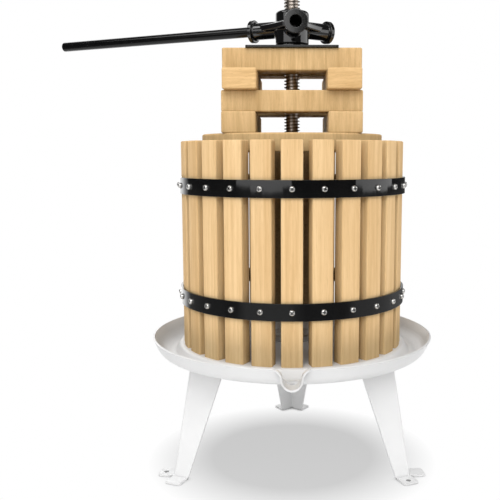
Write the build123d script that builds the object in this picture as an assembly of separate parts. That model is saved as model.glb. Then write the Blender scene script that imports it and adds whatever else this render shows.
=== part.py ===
from build123d import *
import os
from math import cos, radians, sin, sqrt, tan

# Fruit press, in millimetres. The floor is Z = 0, the screw stands on the Z axis and the spout points to -Y.
# The angle of a leg or arm is counted from the front, -Y, towards +X.

# Basket
slat_count = 25
slat_width = 25.0
slat_thickness = 17.5
slat_height = 258.0
slat_edge_radius = 2.0
slat_top_radius = 1.5
hoop_radius = 144.7
hoop_thickness = 3.0
hoop_width = 20.0
lower_hoop_height = 54.5
upper_hoop_height = 193.5
hoop_clearance = 0.2

# Wood screws that hold the hoops to the slats
hoop_screw_radius = 1.9
hoop_screw_reach = 16.0
hoop_screw_head_radius = 3.5
hoop_screw_head_height = 3.2
hoop_screw_head_round = 2.4
hoop_screw_clearance = 0.1

# Pan
pan_sheet = 2.4
seat_margin = 2.0
seat_slope_run = 6.0
gutter_depth = 10.6
gutter_width = 17.0
rim_run = 9.6
rim_rise = 20.3
pan_bend_radius = 4.0
pan_wall_radius = 15.6

# Spout
spout_width = 21.0
spout_lip = 11.5

# Legs
leg_height = 154.1
leg_sheet = 2.5
leg_names = ["leg_right", "leg_rear", "leg_left"]
right_leg_angle = 60.0
leg_fold_angle = 37.0
leg_fold_radius = 2.0
leg_seat_inset = 3.8
leg_splay = 27.3
leg_top_half_width = 40.0
leg_foot_half_width = 15.9
leg_flange_depth = 46.0
foot_tab_length = 19.0
foot_tab_round = 3.0
foot_hole_radius = 3.0
foot_hole_inset = 7.5

# Leg bolts and nuts
leg_bolt_inset = 33.0
leg_bolt_spread = 36.0
leg_bolt_radius = 3.0
leg_bolt_head_radius = 5.5
leg_bolt_head_height = 2.5
leg_bolt_head_round = 2.0
leg_bolt_tail = 2.0
leg_nut_across_flats = 10.0
leg_nut_height = 5.0
bolt_hole_clearance = 0.2
nut_clearance = 0.05

# Main screw and what clamps it to the pan
screw_radius = 10.0
screw_spare = 70.4
screw_tail = 4.0
screw_tip_chamfer = 2.0
screw_fit = 0.05
screw_hole_clearance = 0.3
base_collar_radius = 28.0
base_collar_height = 8.0
base_collar_chamfer = 1.5
base_washer_radius = 26.0
base_washer_height = 4.0
base_nut_across_flats = 30.0
base_nut_height = 16.0

# Press boards and blocks
board_clearance = 9.45
board_thickness = 22.0
board_entry = 13.5
board_seam = 1.0
board_screw_clearance = 3.0
board_edge_radius = 2.0
block_width = 40.4
block_heights = [25.5, 25.5, 24.4, 27.0]
block_edge_radius = 2.0
block_basket_clearance = 5.6
lower_row_gap = 85.4
middle_row_gap = 57.2
third_row_gap = 82.9
block_screw_clearance = 1.0

# Pressure plate and thrust collar
plate_side = 112.0
plate_thickness = 2.4
plate_corner_radius = 3.0
plate_screw_clearance = 2.0
collar_radius = 20.5
collar_height = 7.2
collar_chamfer = 1.0
collar_screw_clearance = 0.5

# Press head
hub_radius = 21.1
hub_height = 41.2
hub_round = 4.0
hub_foot_round = 2.0
arm_names = ["front", "right", "left"]
front_arm_angle = 4.5
arm_height = 20.4
arm_radius = 10.8
arm_reach = 57.7
arm_flange_radius = 14.4
arm_flange_thickness = 5.5
arm_flange_round = 0.9
arm_neck_blend = 1.1
arm_root_blend = 4.0
socket_radius = 7.5
socket_depth = 36.0
web_thickness = 8.0
web_rise = 2.0
web_neck = 25.5
web_root = 7.0
web_edge_round = 2.2
web_blend = 2.0

# Handle bar
bar_clearance = 0.95
bar_length = 350.0
bar_end_gap = 0.5
bar_end_round = 1.2

# Heights and radii that follow from the sizes above
seat_z = leg_height + pan_sheet
gutter_z = seat_z - gutter_depth
rim_z = gutter_z + rim_rise
seat_radius = hoop_radius + seat_margin
gutter_radius = seat_radius + seat_slope_run
wall_foot_radius = gutter_radius + gutter_width
rim_radius = wall_foot_radius + rim_run
spout_reach = rim_radius + spout_lip
spout_flare = rim_rise - spout_width / 2
spout_side = spout_width / 2 + spout_flare
slat_radius = hoop_radius - hoop_thickness - hoop_clearance
hoop_z = {"lower": seat_z + lower_hoop_height, "upper": seat_z + upper_hoop_height}
board_z = seat_z + slat_height - board_entry
basket_radius = slat_radius - slat_thickness
board_radius = basket_radius - board_clearance
block_z = board_z + board_thickness
block_reach = max(lower_row_gap, third_row_gap) / 2 + block_width
block_length = 2 * sqrt((basket_radius - block_basket_clearance) ** 2 - block_reach**2)
top_row_gap = 2 * (screw_radius + block_screw_clearance)
row_gaps = [lower_row_gap, middle_row_gap, third_row_gap, top_row_gap]
row_z = [block_z + sum(block_heights[:row]) for row in range(len(row_gaps))]
plate_z = block_z + sum(block_heights)
collar_z = plate_z + plate_thickness
head_z = collar_z + collar_height
arm_z = head_z + arm_height
screw_top = head_z + hub_height + screw_spare
screw_bottom = leg_height - base_washer_height - base_nut_height - screw_tail
fitted_bore = screw_radius + screw_fit
bar_radius = socket_radius - bar_clearance
leg_top_radius = seat_radius - leg_seat_inset
leg_foot_radius = leg_top_radius + leg_splay
leg_bolt_circle = leg_top_radius - leg_bolt_inset
leg_angles = {name: right_leg_angle + 360 * turn / len(leg_names) for turn, name in enumerate(leg_names)}
arm_angles = {name: front_arm_angle + 360 * turn / len(arm_names) for turn, name in enumerate(arm_names)}

on_base = (Align.CENTER, Align.CENTER, Align.MIN)
seam_tolerance = 0.02


def facing(angle):
    """Turns what points along +X to an angle from the front."""
    return Rot(Z=angle - 90)


def slat_turns():
    return [facing(turn * 360 / slat_count) for turn in range(slat_count)]


def disc(radius, height, z):
    return Pos(Z=z) * Cylinder(radius, height, align=on_base)


def radial_rod(radius, inner, outer, z):
    """A round bar along +X between two distances from the screw axis."""
    return Pos(inner, 0, z) * Rot(Y=90) * Cylinder(radius, outer - inner, align=on_base)


def domed_pin(radius, length, head_radius, head_height, head_round):
    """A fastener along Z: the shank ends at Z = -length and the rounded head stands on Z = 0."""
    shank = Pos(Z=-length) * Cylinder(radius, length, align=on_base)
    head = Cylinder(head_radius, head_height, align=on_base)
    return shank + fillet(head.edges().group_by(Axis.Z)[-1], head_round)


def hex_nut(across_flats, height, bore, z):
    body = extrude(RegularPolygon(across_flats / 2, 6, major_radius=False), height)
    return Pos(Z=z) * (body - Cylinder(bore, height, align=on_base))


def slat():
    """An upright slat: crowned face for the hoops, eased edges and a pilot hole behind each hoop."""
    stock = Pos(slat_radius - slat_thickness) * Rectangle(
        2 * slat_thickness, slat_width, align=(Align.MIN, Align.CENTER)
    )
    section = stock & Circle(slat_radius)
    section = fillet(section.vertices(), slat_edge_radius)
    body = extrude(section, slat_height)
    body = Pos(Z=seat_z) * fillet(body.edges().group_by(Axis.Z)[-1], slat_top_radius)
    pilot = hoop_screw_radius + hoop_screw_clearance
    for z in hoop_z.values():
        body -= radial_rod(pilot, hoop_radius - hoop_screw_reach, hoop_radius, z + hoop_width / 2)
    return body


def hoop(z):
    """A flat steel band round the slats, with a hole in front of each slat."""
    band = disc(hoop_radius, hoop_width, z) - disc(hoop_radius - hoop_thickness, hoop_width, z)
    hole = radial_rod(
        hoop_screw_radius + hoop_screw_clearance, slat_radius, hoop_radius + hoop_thickness, z + hoop_width / 2
    )
    return band - [turn * hole for turn in slat_turns()]


def hoop_screws(z):
    """One wood screw per slat, with its head on the hoop."""
    length = hoop_screw_reach - hoop_screw_clearance
    screw = domed_pin(
        hoop_screw_radius, length, hoop_screw_head_radius, hoop_screw_head_height, hoop_screw_head_round
    )
    placed = Pos(hoop_radius, 0, z + hoop_width / 2) * Rot(Y=90) * screw
    return Compound(children=[turn * placed for turn in slat_turns()])


def pan_line():
    """The pan's upper surface from the screw hole to the rim, seen from the side."""
    return FilletPolyline(
        (screw_radius + screw_hole_clearance, seat_z),
        (seat_radius, seat_z),
        (gutter_radius, gutter_z),
        (wall_foot_radius, gutter_z),
        (rim_radius, rim_z),
        radius=[pan_bend_radius, pan_bend_radius, pan_wall_radius],
    )


def spout_face(sheet):
    """All that lies above the spout's floor, seen from the front, or above its underside one sheet lower."""
    middle_z = gutter_z + spout_width / 2
    floor = spout_width / 2 + sheet
    bend = spout_flare - sheet
    knee = bend * sin(radians(45))
    side = spout_side
    lip = (
        ThreePointArc((-side, middle_z + bend), (-side + knee, middle_z + knee), (-floor, middle_z))
        + ThreePointArc((-floor, middle_z), (0, middle_z - floor), (floor, middle_z))
        + ThreePointArc((floor, middle_z), (side - knee, middle_z + knee), (side, middle_z + bend))
    )
    above = rim_z + pan_sheet
    top = Polyline((side, middle_z + bend), (side, above), (-side, above), (-side, middle_z + bend))
    return make_face(Plane.XZ * (lip + top))


def spout_plan(rim_edge):
    """The spout seen from above: from inside the gutter to a lip that bows out from the rim."""
    rim_y = -sqrt(rim_edge**2 - spout_side**2)
    lip = ThreePointArc((-spout_side, rim_y), (0, -spout_reach), (spout_side, rim_y))
    back = Polyline(
        (spout_side, rim_y),
        (spout_side, -wall_foot_radius),
        (-spout_side, -wall_foot_radius),
        (-spout_side, rim_y),
    )
    return make_face(lip + back)


def juice_pan():
    """A pressed pan: raised seat for the basket, gutter round it, sloping wall and a flared spout."""
    line = pan_line()
    with BuildSketch(Plane.XZ) as section:
        with BuildLine():
            offset(line, amount=pan_sheet, side=Side.RIGHT, closed=True)
        make_face()
    shell = revolve(section.sketch, Axis.Z)
    rim_edge = shell.bounding_box().max.X
    closing = Polyline(line @ 1, (0, rim_z), (0, seat_z), line @ 0)
    inside = revolve(make_face(Plane.XZ * (line + closing)), Axis.Z)
    plan = extrude(spout_plan(rim_edge), rim_z + pan_sheet)
    channel = extrude(spout_face(0), spout_reach)
    trough = extrude(spout_face(pan_sheet), spout_reach)
    pan = (shell - (channel & plan)) + (((trough - channel) & plan) - inside)
    holes = [place * disc(leg_bolt_radius + bolt_hole_clearance, pan_sheet, leg_height) for place in leg_bolt_places()]
    return pan - holes


def leg_bolt_places():
    return [
        facing(angle) * Pos(leg_bolt_circle, side * leg_bolt_spread / 2)
        for angle in leg_angles.values()
        for side in (-1, 1)
    ]


def leg_section(apex_radius, half_width):
    """A folded sheet seen from above, with its fold pointing along +X away from the screw."""
    lean = radians(leg_fold_angle)
    end = apex_radius - half_width * tan(lean)
    inner_end = (end - leg_sheet * cos(lean), half_width - leg_sheet * sin(lean))
    outer_fold = (apex_radius, 0)
    inner_fold = (apex_radius - leg_sheet / cos(lean), 0)
    outline = Polyline(
        outer_fold,
        (end, half_width),
        inner_end,
        inner_fold,
        (inner_end[0], -inner_end[1]),
        (end, -half_width),
        close=True,
    )
    face = make_face(outline)
    face = fillet(face.vertices().sort_by_distance(outer_fold)[:1], leg_fold_radius + leg_sheet)
    return fillet(face.vertices().sort_by_distance(inner_fold)[:1], leg_fold_radius)


def foot_tab(side):
    """The foot under one flank, bent outward flat on the floor. The one on the -Y side has a screw hole."""
    flank = leg_foot_half_width / cos(radians(leg_fold_angle))
    tab = Rectangle(foot_tab_length + leg_sheet, flank, align=(Align.MIN, Align.MIN))
    outer_corners = tab.vertices().group_by(Axis.X)[-1]
    tab = fillet(outer_corners, foot_tab_round)
    body = Pos(-leg_sheet) * extrude(tab, leg_sheet)
    if side < 0:
        reach = foot_tab_length - foot_hole_inset
        body -= Pos(reach, flank / 2) * Cylinder(foot_hole_radius, leg_sheet, align=on_base)
        body = mirror(body, Plane.XZ)
    return Pos(leg_foot_radius) * Rot(Z=side * leg_fold_angle) * body


def leg_flange():
    """The flat top of a leg, between its flanks, that bolts under the pan."""
    lean = radians(leg_fold_angle)
    end = leg_top_radius - leg_top_half_width * tan(lean)
    back = leg_top_radius - leg_flange_depth
    outline = Polyline(
        (leg_top_radius - leg_sheet, 0),
        (end, leg_top_half_width - leg_sheet),
        (back, leg_top_half_width - leg_sheet),
        (back, leg_sheet - leg_top_half_width),
        (end, leg_sheet - leg_top_half_width),
        close=True,
    )
    plate = Pos(Z=leg_height - leg_sheet) * extrude(make_face(outline), leg_sheet)
    hole = disc(leg_bolt_radius + bolt_hole_clearance, leg_sheet, leg_height - leg_sheet)
    return plate - [Pos(leg_bolt_circle, side * leg_bolt_spread / 2) * hole for side in (-1, 1)]


def leg():
    """A leg folded from one tapered sheet, pointing along +X."""
    foot = leg_section(leg_foot_radius, leg_foot_half_width)
    top = Pos(Z=leg_height) * leg_section(leg_top_radius, leg_top_half_width)
    tabs = [foot_tab(side) for side in (-1, 1)]
    return loft([foot, top], ruled=True) + tabs + leg_flange()


def leg_bolts():
    length = pan_sheet + leg_sheet + leg_nut_height + leg_bolt_tail
    bolt = domed_pin(leg_bolt_radius, length, leg_bolt_head_radius, leg_bolt_head_height, leg_bolt_head_round)
    return Compound(children=[place * Pos(Z=seat_z) * bolt for place in leg_bolt_places()])


def leg_nuts():
    z = leg_height - leg_sheet - leg_nut_height
    nut = hex_nut(leg_nut_across_flats, leg_nut_height, leg_bolt_radius + nut_clearance, z)
    return Compound(children=[place * nut for place in leg_bolt_places()])


def main_screw():
    """The fixed screw, from its nut under the pan to the tip above the head."""
    body = disc(screw_radius, screw_top - screw_bottom, screw_bottom)
    return chamfer(body.edges().group_by(Axis.Z)[-1], screw_tip_chamfer)


def base_collar():
    body = disc(base_collar_radius, base_collar_height, seat_z)
    body = chamfer(body.edges().group_by(Axis.Z)[-1], base_collar_chamfer)
    return body - disc(fitted_bore, base_collar_height, seat_z)


def base_washer():
    z = leg_height - base_washer_height
    return disc(base_washer_radius, base_washer_height, z) - disc(fitted_bore, base_washer_height, z)


def base_nut():
    z = leg_height - base_washer_height - base_nut_height
    return hex_nut(base_nut_across_flats, base_nut_height, fitted_bore, z)


def press_board(side):
    """Half of the round board that presses the fruit: +1 is the rear half, -1 the front half."""
    whole = disc(board_radius, board_thickness, board_z)
    whole = fillet(whole.edges().filter_by(GeomType.CIRCLE), board_edge_radius)
    whole -= disc(screw_radius + board_screw_clearance, board_thickness, board_z)
    half = Pos(0, side * (board_radius + board_seam / 2), board_z) * Box(
        2 * board_radius, 2 * board_radius, board_thickness, align=on_base
    )
    return whole & half


def block(row, side):
    """A pressing block. Even rows lie along Y, odd rows across them, each pair clear of the screw."""
    lengthwise = row % 2 == 0
    shape = Box(block_width, block_length, block_heights[row], align=on_base)
    shape = fillet(shape.edges(), block_edge_radius)
    away = side * (row_gaps[row] + block_width) / 2
    turn = Rot(Z=0) if lengthwise else Rot(Z=90)
    return Pos(Z=row_z[row]) * turn * Pos(away) * shape


def pressure_plate():
    face = RectangleRounded(plate_side, plate_side, plate_corner_radius)
    face -= Circle(screw_radius + plate_screw_clearance)
    return Pos(Z=plate_z) * extrude(face, plate_thickness)


def thrust_collar():
    body = disc(collar_radius, collar_height, collar_z)
    body = chamfer(body.edges().filter_by(GeomType.CIRCLE), collar_chamfer)
    return body - disc(screw_radius + collar_screw_clearance, collar_height, collar_z)


def arm_points(angle):
    """Where the webs end on both sides of an arm, seen from above."""
    along = arm_reach - arm_flange_thickness
    return [(facing(angle) * Pos(along, side * web_root)).position for side in (-1, 1)]


def head_web():
    """The web between the arms, its three sides drawn in towards the hub."""
    angles = list(arm_angles.values())
    outline = []
    for angle, following in zip(angles, angles[1:] + [angles[0] + 360]):
        near, far = arm_points(angle)
        beyond = arm_points(following)[0]
        neck = (facing((angle + following) / 2) * Pos(web_neck)).position
        outline += [Line(near, far), ThreePointArc(far, neck, beyond)]
    web = extrude(make_face(Curve() + outline), web_thickness)
    web = fillet(web.edges().filter_by(GeomType.CIRCLE), web_edge_round)
    return Pos(Z=arm_height + web_rise - web_thickness / 2) * web


def head_arm():
    """An arm along +X, turned from its side view: a round shaft that ends in a flange."""
    neck = arm_reach - arm_flange_thickness
    outer = FilletPolyline(
        (0, arm_radius),
        (neck, arm_radius),
        (neck, arm_flange_radius),
        (arm_reach, arm_flange_radius),
        (arm_reach, 0),
        radius=[arm_neck_blend, arm_flange_round, arm_flange_round],
    )
    axis = Polyline((arm_reach, 0), (0, 0), (0, arm_radius))
    return Pos(Z=arm_height) * revolve(make_face(Plane.XZ * (outer + axis)), Axis.X)


def web_seams(casting):
    """The corners where the top of the web runs into the hub and the arms."""
    top = arm_height + web_rise + web_thickness / 2
    level = casting.edges().filter_by_position(Axis.Z, top - seam_tolerance, top + seam_tolerance)
    return [edge for edge in level if edge.geom_type != GeomType.CIRCLE or edge.radius < web_neck]


def press_head():
    """The cast head: a hub on the screw, three socketed arms and the web that ties them, all blended."""
    hub = disc(hub_radius, hub_height, 0)
    hub = fillet(hub.edges().group_by(Axis.Z)[-1], hub_round)
    hub = fillet(hub.edges().group_by(Axis.Z)[0], hub_foot_round)
    casting = hub + [facing(angle) * head_arm() for angle in arm_angles.values()]
    roots = [edge for edge in casting.edges() if edge.geom_type not in (GeomType.CIRCLE, GeomType.LINE)]
    casting = fillet(roots, arm_root_blend) + head_web()
    casting = fillet(web_seams(casting), web_blend)
    socket = radial_rod(socket_radius, arm_reach - socket_depth, arm_reach, arm_height)
    sockets = [facing(angle) * socket for angle in arm_angles.values()]
    return Pos(Z=head_z) * (casting - sockets - disc(fitted_bore, hub_height, 0))


def handle_bar():
    """The bar in the left socket, with its outer end rounded."""
    inner = arm_reach - socket_depth + bar_end_gap
    bar = radial_rod(bar_radius, inner, inner + bar_length, arm_z)
    bar = fillet(bar.edges().group_by(Axis.X)[-1], bar_end_round)
    return facing(arm_angles["left"]) * bar


def all_parts():
    one_slat = slat()
    one_leg = leg()
    parts = {f"slat_{number:02d}": turn * one_slat for number, turn in enumerate(slat_turns(), 1)}
    for place, z in hoop_z.items():
        parts[f"{place}_hoop"] = hoop(z)
        parts[f"{place}_hoop_screws"] = hoop_screws(z)
    parts["press_board_front"] = press_board(-1)
    parts["press_board_rear"] = press_board(1)
    for row in range(len(row_gaps)):
        names = ("left", "right") if row % 2 == 0 else ("front", "rear")
        for name, side in zip(names, (-1, 1)):
            parts[f"block_{row + 1}_{name}"] = block(row, side)
    parts["pressure_plate"] = pressure_plate()
    parts["thrust_collar"] = thrust_collar()
    parts["press_head"] = press_head()
    parts["handle_bar"] = handle_bar()
    parts["main_screw"] = main_screw()
    parts["base_collar"] = base_collar()
    parts["base_washer"] = base_washer()
    parts["base_nut"] = base_nut()
    parts["juice_pan"] = juice_pan()
    for name, angle in leg_angles.items():
        parts[name] = facing(angle) * one_leg
    parts["leg_bolts"] = leg_bolts()
    parts["leg_nuts"] = leg_nuts()
    return parts


os.makedirs("parts", exist_ok=True)
for name, shape in all_parts().items():
    export_step(shape, f"parts/{name}.step")
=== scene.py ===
import math
import random

import bmesh
import bpy
from mathutils import Matrix, Vector


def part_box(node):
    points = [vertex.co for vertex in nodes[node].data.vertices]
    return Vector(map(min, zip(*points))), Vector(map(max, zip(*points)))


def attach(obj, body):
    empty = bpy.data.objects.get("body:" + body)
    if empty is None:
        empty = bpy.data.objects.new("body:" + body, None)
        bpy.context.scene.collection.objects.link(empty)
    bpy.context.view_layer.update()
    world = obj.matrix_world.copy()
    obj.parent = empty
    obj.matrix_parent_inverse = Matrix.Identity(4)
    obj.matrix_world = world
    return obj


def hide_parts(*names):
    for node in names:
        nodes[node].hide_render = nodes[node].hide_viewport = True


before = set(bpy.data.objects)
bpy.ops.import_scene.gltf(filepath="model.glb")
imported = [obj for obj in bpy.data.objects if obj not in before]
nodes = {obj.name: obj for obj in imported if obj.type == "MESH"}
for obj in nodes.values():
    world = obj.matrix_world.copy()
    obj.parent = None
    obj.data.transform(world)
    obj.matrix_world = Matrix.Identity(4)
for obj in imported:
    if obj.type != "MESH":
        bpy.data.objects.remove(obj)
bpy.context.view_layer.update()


def grey(level):
    return (level, level, level)


# All sizes are in metres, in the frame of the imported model: the floor is Z = 0 and the camera stands at -Y.

quarter_turn = math.pi / 2

# Camera, fitted to the photograph of 500 by 500 pixels
image_side = 500.0
focal_pixels = 738.0
optical_centre = (292.0, 249.93)
camera_place = (0.0, -0.9596, 0.397)
camera_pitch = 7.301
sensor_width = 36.0

# Thread of the main screw, wound past both ends by the spare turns and then cut to length
thread_pitch = 0.004
thread_depth = 0.0025
thread_crest = 0.0006
thread_flank = 0.0007
thread_phase = 0.0021
thread_segments = 40
thread_spare_turns = 4
thread_turns_below = 3
thread_weld = 0.00001
screw_tip_chamfer = 0.002

# Wood screws on the hoops; a share is of the head's, shank's or recess's full size
slat_count = 25
screw_segments = 28
screw_head_radius = 0.0035
screw_head_height = 0.0032
screw_dome_steps = 8
screw_crown_share = 0.42
screw_rim_share = 0.25
screw_shank_radius = 0.0019
screw_shank_length = 0.0159
screw_tip_share = 0.6
recess_span = 0.005
recess_width = 0.0014
recess_depth = 0.002
recess_floor_span_share = 0.55
recess_floor_width_share = 0.7
recess_cut_height = 1.2 * screw_head_height
screw_roll_seed = 7

# Floor: a painted soft shadow under the press, with a little real shade in it; plain white further out, with
# painted contact shadows
floor_radius = 1.0
floor_segments = 96
floor_tone = 0.92
floor_roughness = 0.9
floor_gloss = 0.1
shadow_centre = (0.0, -0.012, 0.0)
shadow_core = 0.105
shadow_edge = 0.19
shadow_tone = 0.1
painted_shadow_glow = 0.53
contact_shadow_reach = 0.01
contact_shadow_tones = [(0.5, grey(0.6)), (0.88, grey(1.0))]

# Room: the light it gives from all round, and what reflections show of it
room_ambient = 0.435
room_radiance = 0.05
backdrop_radiance = 1.8
backdrop_direction = (-0.342, 0.94, 0.0)
backdrop_edge = (0.839, 0.961)
backdrop_top = (0.55, 0.8)

# What reflections show below the horizon, by angle from the front in degrees
apron_start = (-0.04, -0.1)
apron_radiance = [
    (-120, 0.18),
    (-94, 0.155),
    (-65, 0.12),
    (-56, 0.12),
    (-46, 0.39),
    (-4, 0.39),
    (6, 0.22),
    (14, 0.12),
    (54, 0.12),
    (68, 0.36),
    (120, 0.36),
    (160, 0.12),
]

# Upright softboxes at the front left and at the right: the angles from the front and the heights of each step
key_distance = 2.0
key_radiance = 1.3
key_steps = [
    ("key_box_high", (-60.0, 9.1), (0.6, 1.3)),
    ("key_box_low", (-53.5, -0.5), (0.279, 0.6)),
    ("key_foot", (-39.0, -8.5), (0.264, 0.279)),
]
side_distance = 1.8
side_radiance = 1.4
side_steps = [
    ("side_box_high", (63.0, 137.0), (0.6, 1.3)),
    ("side_box_low", (62.5, 113.0), (0.285, 0.6)),
    ("side_foot", (70.0, 105.0), (0.272, 0.285)),
]

# Spans of a noise's value: nearly all of it, and the part over which two tones change
noise_span = (0.3, 0.7)
tone_span = (0.35, 0.65)

# Grain of bare wood: the scale of each noise, and its share in the figure
grain_shift = 3.7
band_scale = 70.0
band_share = 0.35
line_scale = 300.0
line_roughness = 0.55
line_share = 0.5
fibre_scale = 1500.0
fibre_share = 0.15
figure_span = (0.36, 0.64)
pore_scale = 2600.0
pore_detail = 1.0
pore_roughness = 0.4
pore_span = (0.62, 0.72)
pore_share = 0.35
pore_tint = (0.72, 0.68, 0.6)
wood_roughness = (0.72, 0.6)
wood_gloss = 0.05

# Grain directions (the axes are squeezed along the fibres), and the light and dark tone of each kind of wood
slat_grain = (1, 1, 0.03)
upright_grain = (1, 0.03, 0.07)
flat_grain = (0.09, 0.03, 1)
flat_grain_tilt = 3.0
board_grain = (1, 0.03, 0.1)
slat_tones = ((0.838, 0.588, 0.316), (0.68, 0.44, 0.209))
upright_tones = ((0.805, 0.555, 0.285), (0.59, 0.382, 0.173))
end_tones = ((0.77, 0.53, 0.275), (0.585, 0.388, 0.181))
flat_tones = ((0.815, 0.55, 0.273), (0.61, 0.38, 0.167))
board_tones = ((0.72, 0.49, 0.247), (0.57, 0.382, 0.181))

# One piece of wood is a little lighter or darker than the next
piece_tone = (0.985, 1.015)

# Painted shade: the wood is darker in corners, between pieces and inside the basket
wood_shade_reach = 0.3
wood_shade_tones = [
    (0.04, grey(0.42)),
    (0.13, (0.9, 0.95, 0.96)),
    (0.3, (0.88, 0.92, 0.93)),
    (0.6, (0.82, 0.86, 0.88)),
    (0.85, grey(1.0)),
]

# Painted shade darkens the foot of the slats, up to this height above it
foot_shade_height = 0.045
foot_shade_tones = [(0.0, grey(0.85)), (1.0, grey(1.0))]

# Black paint flows a little unevenly; deep inside narrow holes, painted shade takes its place as flat black
flow_scale = 45.0
flow_detail = 3.0
paint_tones = ((0.0025, 0.0025, 0.0027), (0.0042, 0.0042, 0.0044))
paint_unevenness = (0.85, 1.2)
hole_shade_reach = 0.02
hole_shade_open = (0.15, 0.35)
hole_shade_tone = 0.001

# White powder coat
coat_tone_scale = 22.0
coat_peel_scale = 900.0
coat_roughness = (0.32, 0.42)
coat_gloss = 0.4

# Painted shade darkens the pan's coat in the corners outside this span of radius
corner_shade_radius = (0.155, 0.161)
corner_shade_reach = 0.04
corner_shade_tones = [(0.45, (0.68, 0.69, 0.7)), (0.85, grey(1.0))]

# Inside the spout, short of its lip, painted shade gives the coat one even, duller tone
spout_half_width = (0.0115, 0.0135)
spout_start = (-0.143, -0.15)
spout_lip = (0.0004, 0.0016)
spout_shade_tone = (0.86, 0.855, 0.845, 1.0)

# Painted shade darkens the legs' coat in the foot holes
pocket_shade_reach = 0.006
pocket_shade_tones = [(0.3, grey(0.3)), (0.65, grey(1.0))]

# Turned or plated steel, with painted shade in the recess of a screw head
steel_tone_scale = 120.0
steel_tone_detail = 3.0
mark_stretch = (1, 1, 6)
mark_unevenness = (0.8, 1.25)
recess_shade_reach = 0.0025
recess_shade_tones = [(0.3, grey(0.02)), (0.75, grey(1.0))]

# Steel of the thread: painted shade darkens the crests, a painted highlight brightens the grooves
crest_margin = 0.0002
smear_scale = 160.0
smear_detail = 4.0
smear_roughness = 0.6
smear_span = (0.25, 0.75)
smear_share = (0.75, 1.0)
groove_span = (0.1, 0.9)
crest_shade_tone = (0.15, 0.125, 0.1)
groove_light_tone = (0.5, 0.44, 0.39)
thread_roughness = (0.45, 0.34)
thread_softness = 0.85

# Fine relief: its strength, its depth, and the radius by which sharp edges look rounded
wood_relief = (0.25, 0.0002, 0.0008)
coat_relief = (0.04, 0.0002, 0.0008)
steel_relief = (0.05, 0.0001, 0.0004)
paint_relief_depth = 0.0003
paint_edge = 0.0006

# Rays by which a material looks for its surroundings and for its edges
openness_samples = 8
edge_samples = 4

# Angle above which an edge of a made mesh is shaded sharp
sharp_angle = math.radians(32)


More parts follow.
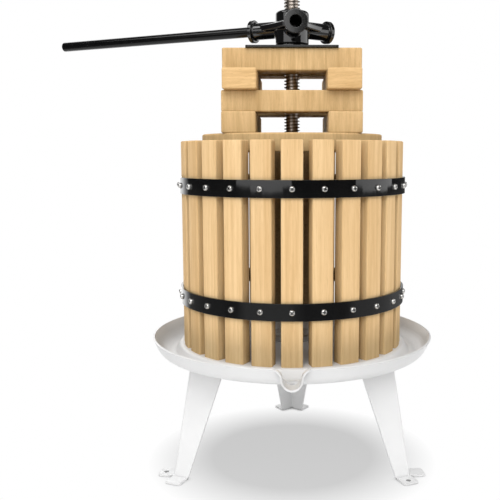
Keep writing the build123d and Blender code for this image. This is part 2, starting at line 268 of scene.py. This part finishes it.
class Graph:
    """Short calls to add and link the nodes of one tree."""

    def __init__(self, tree):
        self.tree = tree
        self.tree.nodes.clear()

    def add(self, kind, **settings):
        node = self.tree.nodes.new(kind)
        for name, value in settings.items():
            setattr(node, name, value)
        return node

    def link(self, source, target):
        self.tree.links.new(source, target)

    def fill(self, target, value):
        """Links a socket, or sets a plain value."""
        if isinstance(value, bpy.types.NodeSocket):
            self.link(value, target)
        else:
            target.default_value = value

    def math(self, operation, first, second=0.0):
        node = self.add("ShaderNodeMath", operation=operation)
        self.fill(node.inputs[0], first)
        self.fill(node.inputs[1], second)
        return node.outputs["Value"]

    def between(self, kind, share, first, second, **settings):
        """The first value, or the second where the share is 1."""
        node = self.add("ShaderNodeMix", data_type=kind, **settings)
        self.fill(node.inputs["Factor"], share)
        self.fill(node.inputs["A"], first)
        self.fill(node.inputs["B"], second)
        return node.outputs["Result"]

    def mix(self, share, first, second):
        return self.between("RGBA", share, first, second)

    def multiply(self, first, second):
        return self.between("RGBA", 1.0, first, second, blend_type="MULTIPLY")

    def pick(self, share, first, second):
        return self.between("FLOAT", share, first, second)

    def blend(self, share, first, second):
        """One shader over another."""
        node = self.add("ShaderNodeMixShader")
        self.link(share, node.inputs["Fac"])
        self.link(first, node.inputs[1])
        self.link(second, node.inputs[2])
        return node.outputs["Shader"]

    def span(self, value, low, high, new_low=0.0, new_high=1.0):
        """Carries a span of the value over to a new one, and holds it at its ends."""
        node = self.add("ShaderNodeMapRange")
        ends = {"From Min": low, "From Max": high, "To Min": new_low, "To Max": new_high}
        self.fill(node.inputs["Value"], value)
        for name, given in ends.items():
            self.fill(node.inputs[name], given)
        return node.outputs["Result"]

    def split(self, vector):
        node = self.add("ShaderNodeSeparateXYZ")
        self.link(vector, node.inputs["Vector"])
        return node.outputs

    def unit(self, vector):
        node = self.add("ShaderNodeVectorMath", operation="NORMALIZE")
        self.link(vector, node.inputs[0])
        return node.outputs["Vector"]

    def level_unit(self, parts):
        """The direction of a split vector without its height."""
        node = self.add("ShaderNodeCombineXYZ")
        for axis in ("X", "Y"):
            self.link(parts[axis], node.inputs[axis])
        return self.unit(node.outputs["Vector"])

    def place(self, stretch=(1, 1, 1), shift=0.0, tilt=0.0):
        """Coordinates of the piece in metres, moved apart by piece, tilted about Y and squeezed by axis."""
        coordinates = self.add("ShaderNodeTexCoord")
        piece = self.add("ShaderNodeObjectInfo")
        moved = self.add("ShaderNodeVectorMath", operation="ADD")
        apart = self.math("MULTIPLY", piece.outputs["Random"], shift)
        self.link(coordinates.outputs["Object"], moved.inputs[0])
        self.link(apart, moved.inputs[1])
        vector = moved.outputs["Vector"]
        if tilt:
            turn = self.add("ShaderNodeMapping")
            turn.inputs["Rotation"].default_value = (0.0, math.radians(tilt), 0.0)
            self.link(vector, turn.inputs["Vector"])
            vector = turn.outputs["Vector"]
        mapping = self.add("ShaderNodeMapping")
        mapping.inputs["Scale"].default_value = stretch
        self.link(vector, mapping.inputs["Vector"])
        return mapping.outputs["Vector"]

    def noise(self, vector, scale, detail=2.0, roughness=0.5, distortion=0.0):
        node = self.add("ShaderNodeTexNoise")
        self.link(vector, node.inputs["Vector"])
        node.inputs["Scale"].default_value = scale
        node.inputs["Detail"].default_value = detail
        node.inputs["Roughness"].default_value = roughness
        node.inputs["Distortion"].default_value = distortion
        return node.outputs["Fac"]

    def ramp(self, value, stops):
        node = self.add("ShaderNodeValToRGB")
        elements = node.color_ramp.elements
        while len(elements) < len(stops):
            elements.new(0.5)
        for element, (position, colour) in zip(elements, stops):
            element.position = position
            element.color = (*colour, 1.0)
        self.link(value, node.inputs["Fac"])
        return node.outputs["Color"]

    def tones(self, value, span, low, high):
        """A colour that goes from the low tone to the high one over a span of the value."""
        return self.ramp(value, [(span[0], low), (span[1], high)])


class Surface(Graph):
    """A node material round one Principled shader."""

    def __init__(self, name):
        self.material = bpy.data.materials.new(name)
        self.material.use_nodes = True
        super().__init__(self.material.node_tree)
        self.shader = self.add("ShaderNodeBsdfPrincipled")
        self.output = self.add("ShaderNodeOutputMaterial")
        self.show(self.shader.outputs["BSDF"])

    def show(self, shader):
        self.link(shader, self.output.inputs["Surface"])

    def openness(self, reach):
        """How free the surface lies: 1 in the open, less in corners and between pieces that are close."""
        node = self.add("ShaderNodeAmbientOcclusion", samples=openness_samples)
        node.inputs["Distance"].default_value = reach
        return node.outputs["AO"]

    def relief(self, height, strength, distance, edge):
        """Rounds the look of sharp edges and adds a fine relief."""
        bevel = self.add("ShaderNodeBevel", samples=edge_samples)
        bevel.inputs["Radius"].default_value = edge
        bump = self.add("ShaderNodeBump")
        bump.inputs["Strength"].default_value = strength
        bump.inputs["Distance"].default_value = distance
        self.link(height, bump.inputs["Height"])
        self.link(bevel.outputs["Normal"], bump.inputs["Normal"])
        self.link(bump.outputs["Normal"], self.shader.inputs["Normal"])

    def set(self, **values):
        for name, value in values.items():
            self.fill(self.shader.inputs[name.replace("_", " ")], value)


def wood(name, grain, tones, waviness, tilt=0.0, foot=None):
    """Bare planed wood: broad bands, fine fibres and short pores that run along the squeezed axes.

    Painted shade darkens it in corners and between pieces and, where a foot height is given, towards that
    foot.
    """
    light, dark = tones
    graph = Surface(name)
    place = graph.place(grain, grain_shift, tilt)
    bands = graph.noise(place, band_scale, distortion=waviness)
    lines = graph.noise(place, line_scale, roughness=line_roughness, distortion=waviness)
    fibres = graph.noise(place, fibre_scale)
    pores = graph.noise(place, pore_scale, pore_detail, pore_roughness)
    figure = graph.math("MULTIPLY", bands, band_share)
    for layer, share in ((lines, line_share), (fibres, fibre_share)):
        figure = graph.math("ADD", figure, graph.math("MULTIPLY", layer, share))
    colour = graph.tones(figure, figure_span, dark, light)
    dash = graph.span(pores, *pore_span, 0.0, pore_share)
    pore_colour = [level * tint for level, tint in zip(dark, pore_tint)]
    colour = graph.mix(dash, colour, (*pore_colour, 1.0))
    piece = graph.add("ShaderNodeObjectInfo")
    shade = graph.add("ShaderNodeHueSaturation")
    graph.link(graph.span(piece.outputs["Random"], 0.0, 1.0, *piece_tone), shade.inputs["Value"])
    graph.link(colour, shade.inputs["Color"])
    # Painted shade: darker where other pieces lie close
    wood_shade = graph.ramp(graph.openness(wood_shade_reach), wood_shade_tones)
    colour = graph.multiply(shade.outputs["Color"], wood_shade)
    # Painted shade: darker towards the foot
    if foot is not None:
        height = graph.split(graph.place())["Z"]
        foot_shade = graph.ramp(graph.span(height, foot, foot + foot_shade_height), foot_shade_tones)
        colour = graph.multiply(colour, foot_shade)
    graph.set(
        Base_Color=colour,
        Roughness=graph.span(lines, *noise_span, *wood_roughness),
        Specular_IOR_Level=wood_gloss,
    )
    graph.relief(graph.math("SUBTRACT", fibres, dash), *wood_relief)
    return graph.material


def black_paint(name, roughness, grain_scale, grain_strength, gloss):
    """Gloss black paint, a little uneven, over smooth or cast metal, with painted shade, flat black, deep
    inside holes.
    """
    graph = Surface(name)
    place = graph.place()
    flow = graph.noise(place, flow_scale, flow_detail)
    peel = graph.noise(place, grain_scale)
    graph.set(
        Base_Color=graph.tones(flow, tone_span, *paint_tones),
        Roughness=graph.span(flow, *noise_span, *[roughness * factor for factor in paint_unevenness]),
        Specular_IOR_Level=gloss,
    )
    graph.relief(peel, grain_strength, paint_relief_depth, paint_edge)
    # Painted shade: flat black in place of the paint deep inside holes
    deep = graph.add("ShaderNodeBsdfDiffuse")
    deep.inputs["Color"].default_value = (*grey(hole_shade_tone), 1.0)
    open_share = graph.span(graph.openness(hole_shade_reach), *hole_shade_open)
    graph.show(graph.blend(open_share, deep.outputs["BSDF"], graph.shader.outputs["BSDF"]))
    return graph.material


def radius_of(graph, parts):
    """Distance of a split place from the axis of the screw."""
    squares = [graph.math("POWER", parts[axis], 2.0) for axis in ("X", "Y")]
    return graph.math("SQRT", graph.math("ADD", *squares))


def spout_shade_share(graph, parts):
    """Share of the spout's painted shade: 1 in the pan's spout, 0 on its lip and elsewhere."""
    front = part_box("juice_pan")[0].y
    inside = graph.span(graph.math("ABSOLUTE", parts["X"]), *spout_half_width, 1.0, 0.0)
    begun = graph.span(parts["Y"], *spout_start)
    short_of_lip = graph.span(parts["Y"], front + spout_lip[0], front + spout_lip[1])
    return graph.math("MULTIPLY", graph.math("MULTIPLY", inside, begun), short_of_lip)


def white_coat(name, light, dark, shaded_as_pan):
    """White powder coat with a faint orange peel, and painted shade: the pan's in its corners and spout, the
    legs' in their foot holes.
    """
    graph = Surface(name)
    place = graph.place()
    peel = graph.noise(place, coat_peel_scale)
    colour = graph.tones(graph.noise(place, coat_tone_scale), tone_span, grey(dark), grey(light))
    if shaded_as_pan:
        parts = graph.split(graph.place())
        # Painted shade inside the spout
        spout = spout_shade_share(graph, parts)
        # Painted shade in the pan's corners
        corner_shade = graph.ramp(graph.openness(corner_shade_reach), corner_shade_tones)
        corner_shade_share = graph.span(radius_of(graph, parts), *corner_shade_radius)
        corner_shade_share = graph.math("MULTIPLY", corner_shade_share, graph.math("SUBTRACT", 1.0, spout))
        colour = graph.mix(corner_shade_share, colour, graph.multiply(colour, corner_shade))
        colour = graph.mix(spout, colour, graph.multiply(colour, spout_shade_tone))
    else:
        # Painted shade in the legs' foot holes
        colour = graph.multiply(colour, graph.ramp(graph.openness(pocket_shade_reach), pocket_shade_tones))
    graph.set(
        Base_Color=colour,
        Roughness=graph.span(peel, *noise_span, *coat_roughness),
        Specular_IOR_Level=coat_gloss,
    )
    graph.relief(peel, *coat_relief)
    return graph.material


def steel(name, light, dark, roughness, grain_scale):
    """Bare or plated steel with fine turning marks, and painted shade, near black, in narrow recesses."""
    graph = Surface(name)
    tone = graph.noise(graph.place(), steel_tone_scale, steel_tone_detail)
    marks = graph.noise(graph.place(mark_stretch), grain_scale)
    # Painted shade in narrow recesses
    recess_shade = graph.ramp(graph.openness(recess_shade_reach), recess_shade_tones)
    graph.set(
        Base_Color=graph.multiply(graph.tones(tone, tone_span, dark, light), recess_shade),
        Metallic=1.0,
        Roughness=graph.span(marks, *noise_span, *[roughness * factor for factor in mark_unevenness]),
    )
    graph.relief(marks, *steel_relief)
    return graph.material


def thread_steel(name, crest_radius):
    """Screw steel with painted light: a painted highlight in the grooves, painted shade on the crests."""
    graph = Surface(name)
    parts = graph.split(graph.place())
    radius = radius_of(graph, parts)
    # Painted light: bright in the grooves, dark on the crests, over a real smear
    in_groove = graph.span(radius, crest_radius - thread_depth, crest_radius - crest_margin, 1.0, 0.0)
    smear = graph.noise(graph.place(), smear_scale, smear_detail, smear_roughness)
    bright = graph.math("MULTIPLY", in_groove, graph.span(smear, *smear_span, *smear_share))
    graph.set(
        Base_Color=graph.tones(bright, groove_span, crest_shade_tone, groove_light_tone),
        Metallic=1.0,
        Roughness=graph.span(bright, 0.0, 1.0, *thread_roughness),
    )
    normal = graph.add("ShaderNodeNewGeometry").outputs["Normal"]
    softened = graph.between("VECTOR", thread_softness, normal, graph.level_unit(parts))
    graph.set(Normal=graph.unit(softened))
    return graph.material


def dress(material, *names):
    for name in names:
        slots = nodes[name].data.materials
        slots.clear()
        slots.append(material)


def new_object(name, data):
    thing = bpy.data.objects.new(name, data)
    bpy.context.scene.collection.objects.link(thing)
    return thing


def new_mesh(name, work):
    """A mesh with the shape of the working mesh, which is freed."""
    mesh = bpy.data.meshes.new(name)
    work.to_mesh(mesh)
    work.free()
    return mesh


def shade_by_angle(work):
    """Smooth shading with sharp edges where the faces turn by more than the sharp angle."""
    for face in work.faces:
        face.smooth = True
    for edge in work.edges:
        edge.smooth = edge.calc_face_angle(0.0) < sharp_angle


def new_piece(name, work, body, material, replaced):
    shade_by_angle(work)
    piece = new_object(name, new_mesh(name, work))
    piece.data.materials.append(material)
    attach(piece, body)
    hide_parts(replaced)


def wound_strip(low, high, crest):
    """Points and faces of the thread's profile, wound up as one strip that closes on its next turn."""
    root = crest - thread_depth
    rises = [0.0, thread_crest, thread_crest + thread_flank, thread_pitch - thread_flank]
    radii = [crest, crest, root, root]
    turns = math.ceil((high.z - low.z) / thread_pitch) + thread_spare_turns
    start = low.z - thread_turns_below * thread_pitch + thread_phase
    vertices = []
    for step in range(turns * thread_segments + 1):
        angle = math.tau * step / thread_segments
        base = start + thread_pitch * step / thread_segments
        for rise, radius in zip(rises, radii):
            vertices.append((radius * math.cos(angle), radius * math.sin(angle), base + rise))
    faces = []
    corners = len(rises)
    for step in range(turns * thread_segments):
        for corner in range(corners):
            here = step * corners + corner
            after = here + corners
            above = here + 1
            if corner == corners - 1:
                above = (step + thread_segments) * corners
            if above + corners < len(vertices):
                faces.append((here, after, above + corners, above))
    return vertices, faces


def threaded_screw():
    """The main screw with its trapezoidal thread, between flat ends and with a chamfered tip."""
    low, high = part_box("main_screw")
    crest = high.x
    vertices, faces = wound_strip(low, high, crest)
    strip = bpy.data.meshes.new("thread_strip")
    strip.from_pydata(vertices, [], faces)
    work = bmesh.new()
    work.from_mesh(strip)
    bpy.data.meshes.remove(strip)
    for z, outward in ((low.z, -1), (high.z, 1)):
        everything = work.verts[:] + work.edges[:] + work.faces[:]
        ends = bmesh.ops.bisect_plane(
            work, geom=everything, plane_co=(0, 0, z), plane_no=(0, 0, outward), clear_outer=True
        )
        rim = [item for item in ends["geom_cut"] if isinstance(item, bmesh.types.BMEdge)]
        bmesh.ops.edgeloop_fill(work, edges=rim)
    for vertex in work.verts:
        radius = math.hypot(vertex.co.x, vertex.co.y)
        allowed = crest - screw_tip_chamfer + (high.z - vertex.co.z)
        if radius > allowed:
            vertex.co.xy *= allowed / radius
    bmesh.ops.remove_doubles(work, verts=work.verts[:], dist=thread_weld)
    bmesh.ops.recalc_face_normals(work, faces=work.faces[:])
    material = thread_steel("thread_steel", crest)
    new_piece("main_screw_thread", work, "base", material, "main_screw")


def turned(profile, segments):
    """A solid of revolution about Z from (radius, height) points that start and end on the axis."""
    work = bmesh.new()
    angles = [math.tau * step / segments for step in range(segments)]
    rings = []
    for radius, height in profile:
        if radius == 0:
            places = [(0, 0, height)]
        else:
            places = [(radius * math.cos(angle), radius * math.sin(angle), height) for angle in angles]
        rings.append([work.verts.new(place) for place in places])
    for lower, upper in zip(rings, rings[1:]):
        for step in range(segments):
            after = (step + 1) % segments
            if len(lower) == 1:
                work.faces.new((lower[0], upper[after], upper[step]))
            elif len(upper) == 1:
                work.faces.new((lower[step], lower[after], upper[0]))
            else:
                work.faces.new((lower[step], lower[after], upper[after], upper[step]))
    return work


def recess_cutter():
    """Two crossed wings, narrower at their foot."""
    work = bmesh.new()
    for turn in (0.0, quarter_turn):
        wing = bmesh.ops.create_cube(work, size=1.0)["verts"]
        for vertex in wing:
            deep = vertex.co.z < 0
            vertex.co.x *= recess_span * (recess_floor_span_share if deep else 1.0)
            vertex.co.y *= recess_width * (recess_floor_width_share if deep else 1.0)
            vertex.co.z = screw_head_height - recess_depth if deep else recess_cut_height
        bmesh.ops.rotate(work, verts=wing, cent=(0, 0, 0), matrix=Matrix.Rotation(turn, 3, "Z"))
    return work


def cross_recess_screw():
    """One pan-head wood screw along +Z, its head standing on Z = 0, with a cross recess cut into the head."""
    dome = []
    for step in range(screw_dome_steps):
        lift = quarter_turn * step / screw_dome_steps
        radius = screw_head_radius * (screw_crown_share + (1 - screw_crown_share) * math.cos(lift))
        dome.append((radius, screw_head_height * (screw_rim_share + (1 - screw_rim_share) * math.sin(lift))))
    crown = (0.0, screw_head_height)
    foot = (0.0, -screw_shank_length)
    tip = (screw_shank_radius * screw_tip_share, screw_shank_radius - screw_shank_length)
    shank = [(screw_shank_radius, 2 * screw_shank_radius - screw_shank_length), (screw_shank_radius, 0)]
    body = turned([foot, tip, *shank, (screw_head_radius, 0), *dome, crown], screw_segments)
    return cut(new_mesh("screw_body", body), new_mesh("screw_cutter", recess_cutter()))


def cut(body, cutter):
    """The first mesh without the second."""
    solid = new_object("cut_body", body)
    tool = new_object("cut_tool", cutter)
    change = solid.modifiers.new("cut", "BOOLEAN")
    change.operation = "DIFFERENCE"
    change.solver = "EXACT"
    change.use_self = True
    change.object = tool
    bpy.context.view_layer.update()
    seen = bpy.context.evaluated_depsgraph_get()
    result = bpy.data.meshes.new_from_object(solid.evaluated_get(seen))
    bpy.data.objects.remove(solid)
    bpy.data.objects.remove(tool)
    return result


def hoop_screw_set(hoop, screw, material):
    """A ring of screws on a hoop, one in front of each slat, each rolled at its own angle."""
    low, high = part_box(hoop)
    middle = (low.z + high.z) / 2
    out = Matrix.Translation((high.x, 0, middle)) @ Matrix.Rotation(quarter_turn, 4, "Y")
    rolls = random.Random(screw_roll_seed + len(hoop))
    work = bmesh.new()
    for turn in range(slat_count):
        around = Matrix.Rotation(math.tau * turn / slat_count - quarter_turn, 4, "Z")
        roll = Matrix.Rotation(rolls.uniform(0, quarter_turn), 4, "Z")
        copy = screw.copy()
        copy.transform(around @ out @ roll)
        work.from_mesh(copy)
        bpy.data.meshes.remove(copy)
    new_piece(f"{hoop}_cross_screws", work, "basket", material, f"{hoop}_screws")


def dress_nodes():
    slats = [name for name in nodes if name.startswith("slat_")]
    slat_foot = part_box(slats[0])[0].z
    dress(wood("slat_wood", slat_grain, slat_tones, waviness=0.2, foot=slat_foot), *slats)
    upright = wood("upright_grain_wood", upright_grain, upright_tones, waviness=0.3)
    dress(upright, "block_2_front", "block_2_rear", "block_4_front", "block_4_rear")
    end = wood("end_grain_wood", upright_grain, end_tones, waviness=0.3)
    dress(end, "block_1_left", "block_1_right")
    flat = wood("flat_grain_wood", flat_grain, flat_tones, waviness=0.6, tilt=flat_grain_tilt)
    dress(flat, "block_3_left", "block_3_right")
    board = wood("board_wood", board_grain, board_tones, waviness=0.3)
    dress(board, "press_board_front", "press_board_rear")
    hoop = black_paint("hoop_paint", roughness=0.048, grain_scale=500.0, grain_strength=0.01, gloss=0.645)
    dress(hoop, "upper_hoop", "lower_hoop")
    bar = black_paint("bar_paint", roughness=0.16, grain_scale=700.0, grain_strength=0.015, gloss=0.29)
    dress(bar, "handle_bar")
    plate = black_paint("plate_paint", roughness=0.2, grain_scale=700.0, grain_strength=0.015, gloss=0.6)
    dress(plate, "pressure_plate")
    casting = black_paint("casting_paint", roughness=0.08, grain_scale=420.0, grain_strength=0.012, gloss=1.0)
    dress(casting, "press_head", "thrust_collar")
    dress(white_coat("pan_coat", light=0.765, dark=0.735, shaded_as_pan=True), "juice_pan")
    leg = white_coat("leg_coat", light=0.815, dark=0.785, shaded_as_pan=False)
    dress(leg, "leg_left", "leg_right", "leg_rear")
    plated = steel(
        "plated_steel", light=(0.66, 0.65, 0.63), dark=(0.52, 0.51, 0.49), roughness=0.32, grain_scale=800.0
    )
    dress(plated, "base_collar", "base_washer", "base_nut", "leg_bolts", "leg_nuts", "main_screw")
    dress(plated, "upper_hoop_screws", "lower_hoop_screws")


def studio_floor():
    """A round white floor: a painted soft shadow, with a little real shade in it, under the press, and plain
    white with painted contact shadows further out.
    """
    work = bmesh.new()
    bmesh.ops.create_circle(work, cap_ends=True, segments=floor_segments, radius=floor_radius)
    floor = new_object("studio_floor", new_mesh("studio_floor", work))
    graph = Surface("floor_white")
    graph.set(
        Base_Color=(*grey(floor_tone), 1.0),
        Roughness=floor_roughness,
        Specular_IOR_Level=floor_gloss,
    )
    distance = graph.add("ShaderNodeVectorMath", operation="DISTANCE")
    graph.link(graph.place(), distance.inputs[0])
    distance.inputs[1].default_value = shadow_centre
    away = graph.span(distance.outputs["Value"], shadow_core, shadow_edge)
    rays = graph.add("ShaderNodeLightPath").outputs
    seen = graph.math("MAXIMUM", rays["Is Camera Ray"], rays["Is Glossy Ray"])
    seen = graph.math("MAXIMUM", seen, rays["Is Transmission Ray"])
    pale = graph.add("ShaderNodeBsdfDiffuse")
    pale.inputs["Color"].default_value = (*grey(shadow_tone), 1.0)
    # Painted shadow: an even grey glow under the press, over a faint real diffuse shade
    lift = graph.add("ShaderNodeEmission")
    lift.inputs["Strength"].default_value = painted_shadow_glow
    painted_shadow = graph.add("ShaderNodeAddShader")
    graph.link(pale.outputs["BSDF"], painted_shadow.inputs[0])
    graph.link(lift.outputs["Emission"], painted_shadow.inputs[1])
    # Plain white further out, with painted contact shadows beside and under the feet
    white_with_contact_shadow = graph.add("ShaderNodeEmission")
    graph.link(graph.ramp(graph.openness(contact_shadow_reach), contact_shadow_tones), white_with_contact_shadow.inputs["Color"])
    shown = graph.blend(away, painted_shadow.outputs["Shader"], white_with_contact_shadow.outputs["Emission"])
    graph.show(graph.blend(seen, graph.shader.outputs["BSDF"], shown))
    floor.data.materials.append(graph.material)


def softbox(name, azimuth, distance, height, size, radiance, aim):
    """A rectangular studio light, placed by its angle from the front and aimed at the screw's axis."""
    lamp = bpy.data.lights.new(name, "AREA")
    lamp.shape = "RECTANGLE"
    lamp.size, lamp.size_y = size
    lamp.energy = radiance * math.pi * size[0] * size[1]
    light = new_object(name, lamp)
    angle = math.radians(azimuth)
    light.location = (distance * math.sin(angle), -distance * math.cos(angle), height)
    light.rotation_mode = "QUATERNION"
    light.rotation_quaternion = (Vector((0.0, 0.0, aim)) - light.location).to_track_quat("-Z", "Y")
    light.visible_camera = False
    return light


def upright_softboxes(steps, distance, radiance):
    """Softboxes that stand upright, each across two angles from the front and up between two heights."""
    for name, azimuths, heights in steps:
        width = 2 * distance * math.tan(math.radians(azimuths[1] - azimuths[0]) / 2)
        size = (width, heights[1] - heights[0])
        middle = sum(heights) / 2
        softbox(name, sum(azimuths) / 2, distance, middle, size, radiance, middle)


def studio_light():
    """Softboxes at the front left, right and above; reflections show the glint box for the left top box."""
    upright_softboxes(key_steps, key_distance, key_radiance)
    upright_softboxes(side_steps, side_distance, side_radiance)
    softbox("front_top_box", azimuth=0.0, distance=1.7, height=1.6, size=(1.8, 1.2), radiance=3.5, aim=0.3)
    left_top = softbox(
        "left_top_box", azimuth=-95.0, distance=1.1, height=1.92, size=(1.2, 0.8), radiance=2.4, aim=0.3
    )
    left_top.visible_glossy = False
    softbox("top_box", azimuth=0.0, distance=0.1, height=2.3, size=(1.6, 1.6), radiance=0.7, aim=0.3)
    glint = softbox(
        "glint_box", azimuth=-66.0, distance=1.25, height=1.72, size=(0.9, 0.6), radiance=3.6, aim=0.5
    )
    glint.visible_diffuse = False


def studio_world():
    """White to the camera, an even light on the press, and a white backdrop in a dim room in reflections."""
    world = bpy.data.worlds.new("studio_world")
    bpy.context.scene.world = world
    world.use_nodes = True
    graph = Graph(world.node_tree)
    rays = graph.add("ShaderNodeLightPath").outputs
    parts = graph.split(graph.add("ShaderNodeTexCoord").outputs["Generated"])
    toward = graph.add("ShaderNodeVectorMath", operation="DOT_PRODUCT")
    graph.link(graph.level_unit(parts), toward.inputs[0])
    toward.inputs[1].default_value = backdrop_direction
    across = graph.span(toward.outputs["Value"], *backdrop_edge)
    below_top = graph.span(parts["Z"], *backdrop_top, 1.0, 0.0)
    front = graph.math("MULTIPLY", parts["Y"], -1.0)
    turn = graph.span(graph.math("ARCTAN2", parts["X"], front), -math.pi, math.pi)
    glow = graph.ramp(turn, [(0.5 + angle / 360, grey(level)) for angle, level in apron_radiance])
    below_horizon = graph.span(parts["Z"], *apron_start)
    room = graph.pick(below_horizon, room_radiance, glow)
    reflected = graph.pick(graph.math("MULTIPLY", across, below_top), room, backdrop_radiance)
    glossy = graph.math("MAXIMUM", rays["Is Glossy Ray"], rays["Is Transmission Ray"])
    strength = graph.pick(glossy, room_ambient, reflected)
    strength = graph.pick(rays["Is Camera Ray"], strength, 1.0)
    background = graph.add("ShaderNodeBackground")
    background.inputs["Color"].default_value = (*grey(1.0), 1.0)
    graph.link(strength, background.inputs["Strength"])
    output = graph.add("ShaderNodeOutputWorld")
    graph.link(background.outputs["Background"], output.inputs["Surface"])


def camera():
    """The photograph's camera: level across, pitched down, with the frame shifted off the optical axis."""
    lens = bpy.data.cameras.new("photo_camera")
    lens.sensor_width = sensor_width
    lens.lens = focal_pixels / image_side * sensor_width
    lens.shift_x = 0.5 - optical_centre[0] / image_side
    lens.shift_y = optical_centre[1] / image_side - 0.5
    holder = new_object("photo_camera", lens)
    holder.location = camera_place
    holder.rotation_euler = (math.radians(90 - camera_pitch), 0, 0)
    bpy.context.scene.camera = holder


dress_nodes()
threaded_screw()
bright = steel(
    "bright_zinc", light=(0.80, 0.79, 0.77), dark=(0.66, 0.65, 0.63), roughness=0.24, grain_scale=1500.0
)
one_screw = cross_recess_screw()
for hoop_name in ("upper_hoop", "lower_hoop"):
    hoop_screw_set(hoop_name, one_screw, bright)
bpy.data.meshes.remove(one_screw)
studio_floor()
studio_light()
studio_world()
camera()
bpy.context.scene.view_settings.view_transform = "Standard"
